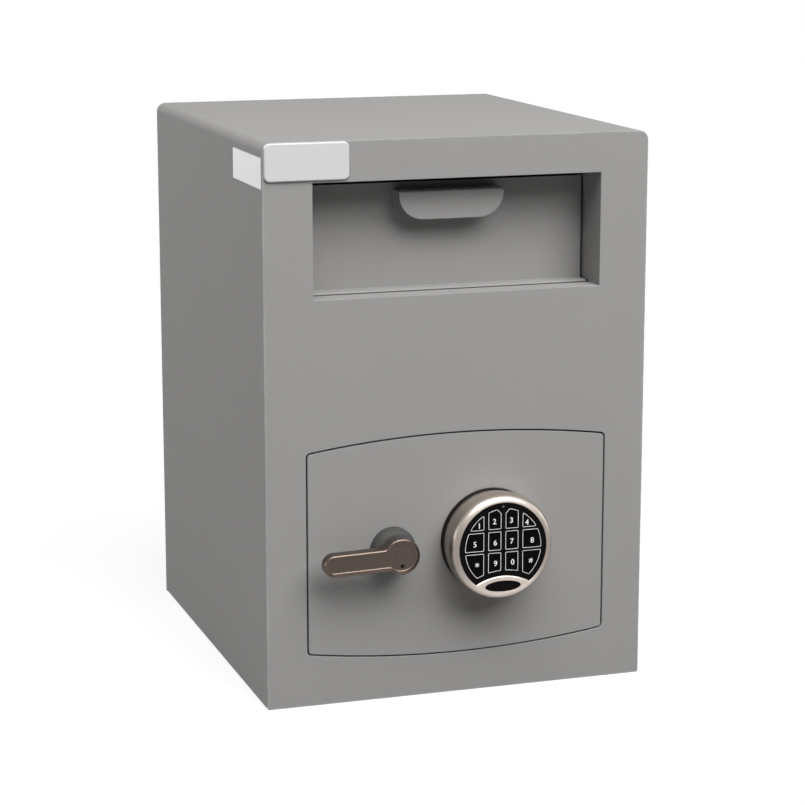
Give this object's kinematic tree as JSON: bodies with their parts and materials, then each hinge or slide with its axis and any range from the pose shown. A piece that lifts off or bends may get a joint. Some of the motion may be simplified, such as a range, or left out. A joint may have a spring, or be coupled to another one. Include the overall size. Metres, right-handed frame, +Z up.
{
  "type": "deposit safe",
  "caption": "Free-standing steel deposit safe with a tilting deposit hopper above a bow-edged door with a lever, an electronic keypad lock and locking bolts.",
  "frame": {"origin": "centre of the cabinet's base, on the floor", "axes": "+Z up; -Y out of the front, where the hopper and door are; +X to the right seen from the front"},
  "size_m": [0.3503, 0.43, 0.495],
  "materials": {
    "cabinet_paint": "fine-textured warm grey powder coat",
    "liner_steel": "smooth grey paint",
    "zinc_steel": "bright zinc plate",
    "bolt_steel": "polished plate",
    "dark_steel": "black oxide",
    "lock_zinc": "die-cast, satin",
    "brass": "machined",
    "nylon": "black nylon",
    "buffer_rubber": "black, matt",
    "rose_black": "dark grey wrinkle paint",
    "lever_metal": "satin nickel, warm",
    "bezel_nickel": "brushed satin nickel",
    "base_black": "black, satin",
    "face_black": "black, glossy",
    "key_black": "black, satin, with a white outline and a plain figure",
    "board_green": "green circuit board",
    "led_clear": "clear, unlit",
    "battery_case": "plain dark sleeve",
    "badge_white": "white, domed, blank",
    "label_white": "white film, blank"
  },
  "bodies": {
    "cabinet": {"body_wrap": "cabinet_paint", "back_plate": "cabinet_paint", "base_plate": "cabinet_paint", "front_plate": "cabinet_paint", "hopper_sill": "cabinet_paint", "hopper_sides": "cabinet_paint", "hopper_hood": "cabinet_paint", "hopper_hinge_rod": "zinc_steel", "hopper_washers": "nylon", "hopper_stops": "buffer_rubber", "bolt_keeper": "cabinet_paint", "badge": "badge_white", "side_label": "label_white"},
    "door": {"door_plate": "cabinet_paint", "bolt_frame": "cabinet_paint", "bolt_cover": "liner_steel", "cover_screws": "zinc_steel", "hinge_pins": "dark_steel", "anti_drill_plate": "liner_steel", "lock_case": "lock_zinc", "lock_screws": "dark_steel", "lock_cable": "buffer_rubber", "carriage_guides": "zinc_steel", "spindle_bush": "brass", "lever_rose": "rose_black", "keypad_base": "base_black", "keypad_screws": "zinc_steel", "keypad_bezel": "bezel_nickel", "keypad_face": "face_black", "keypad_mat": "buffer_rubber", "keypad_board": "board_green", "keypad_window": "face_black", "led_lens": "led_clear", "battery": "battery_case"},
    "lever": {"lever_handle": "lever_metal", "lever_screw": "dark_steel", "lever_spindle": "zinc_steel", "crank": "zinc_steel"},
    "carriage": {"bolt_carriage": "zinc_steel", "locking_bolts": "bolt_steel"},
    "lock_bolt": {"lock_bolt": "brass"},
    "hopper": {"hopper_front": "cabinet_paint", "hopper_handle": "cabinet_paint", "handle_rivets": "zinc_steel", "hopper_tray": "liner_steel", "hopper_cheeks": "liner_steel"},
    "key_1": {"key_1": "key_black"},
    "key_2": {"key_2": "key_black"},
    "key_3": {"key_3": "key_black"},
    "key_4": {"key_4": "key_black"},
    "key_5": {"key_5": "key_black"},
    "key_6": {"key_6": "key_black"},
    "key_7": {"key_7": "key_black"},
    "key_8": {"key_8": "key_black"},
    "key_9": {"key_9": "key_black"},
    "key_0": {"key_0": "key_black"},
    "key_star": {"key_star": "key_black"},
    "key_hash": {"key_hash": "key_black"}
  },
  "joints": [
    {"name": "hopper_tilt", "type": "hinge", "parent": "cabinet", "child": "hopper", "pos_m": [0, -0.1675, 0.3536], "axis": [1, 0, 0], "range_deg": [0, 60]},
    {"name": "door_swing", "type": "hinge", "parent": "cabinet", "child": "door", "pos_m": [0.12525, -0.1935, 0.1366], "axis": [0, 0, 1], "range_deg": [0, 95]},
    {"name": "lever_turn", "type": "hinge", "parent": "door", "child": "lever", "pos_m": [-0.061, -0.1975, 0.1366], "axis": [0, -1, 0], "range_deg": [0, 80]},
    {"name": "bolt_throw", "type": "slide", "parent": "door", "child": "carriage", "axis": [-1, 0, 0], "range_m": [0, 0.01607]},
    {"name": "lock_bolt_slide", "type": "slide", "parent": "door", "child": "lock_bolt", "axis": [-1, 0, 0], "range_m": [0, 0.0127]},
    {"name": "key_1_press", "type": "slide", "parent": "door", "child": "key_1", "axis": [0, 1, 0], "range_m": [0, 0.0006], "stiffness_N_per_m": 1500, "springref_m": -0.0004},
    {"name": "key_2_press", "type": "slide", "parent": "door", "child": "key_2", "axis": [0, 1, 0], "range_m": [0, 0.0006], "stiffness_N_per_m": 1500, "springref_m": -0.0004},
    {"name": "key_3_press", "type": "slide", "parent": "door", "child": "key_3", "axis": [0, 1, 0], "range_m": [0, 0.0006], "stiffness_N_per_m": 1500, "springref_m": -0.0004},
    {"name": "key_4_press", "type": "slide", "parent": "door", "child": "key_4", "axis": [0, 1, 0], "range_m": [0, 0.0006], "stiffness_N_per_m": 1500, "springref_m": -0.0004},
    {"name": "key_5_press", "type": "slide", "parent": "door", "child": "key_5", "axis": [0, 1, 0], "range_m": [0, 0.0006], "stiffness_N_per_m": 1500, "springref_m": -0.0004},
    {"name": "key_6_press", "type": "slide", "parent": "door", "child": "key_6", "axis": [0, 1, 0], "range_m": [0, 0.0006], "stiffness_N_per_m": 1500, "springref_m": -0.0004},
    {"name": "key_7_press", "type": "slide", "parent": "door", "child": "key_7", "axis": [0, 1, 0], "range_m": [0, 0.0006], "stiffness_N_per_m": 1500, "springref_m": -0.0004},
    {"name": "key_8_press", "type": "slide", "parent": "door", "child": "key_8", "axis": [0, 1, 0], "range_m": [0, 0.0006], "stiffness_N_per_m": 1500, "springref_m": -0.0004},
    {"name": "key_9_press", "type": "slide", "parent": "door", "child": "key_9", "axis": [0, 1, 0], "range_m": [0, 0.0006], "stiffness_N_per_m": 1500, "springref_m": -0.0004},
    {"name": "key_0_press", "type": "slide", "parent": "door", "child": "key_0", "axis": [0, 1, 0], "range_m": [0, 0.0006], "stiffness_N_per_m": 1500, "springref_m": -0.0004},
    {"name": "key_star_press", "type": "slide", "parent": "door", "child": "key_star", "axis": [0, 1, 0], "range_m": [0, 0.0006], "stiffness_N_per_m": 1500, "springref_m": -0.0004},
    {"name": "key_hash_press", "type": "slide", "parent": "door", "child": "key_hash", "axis": [0, 1, 0], "range_m": [0, 0.0006], "stiffness_N_per_m": 1500, "springref_m": -0.0004}
  ],
  "couplings": [
    {"joint": "bolt_throw", "follows": "lever_turn", "m_per_rad": 0.011509},
    {"joint": "lock_bolt_slide", "follows": "lever_turn", "m_per_rad": 0.0090957}
  ]
}
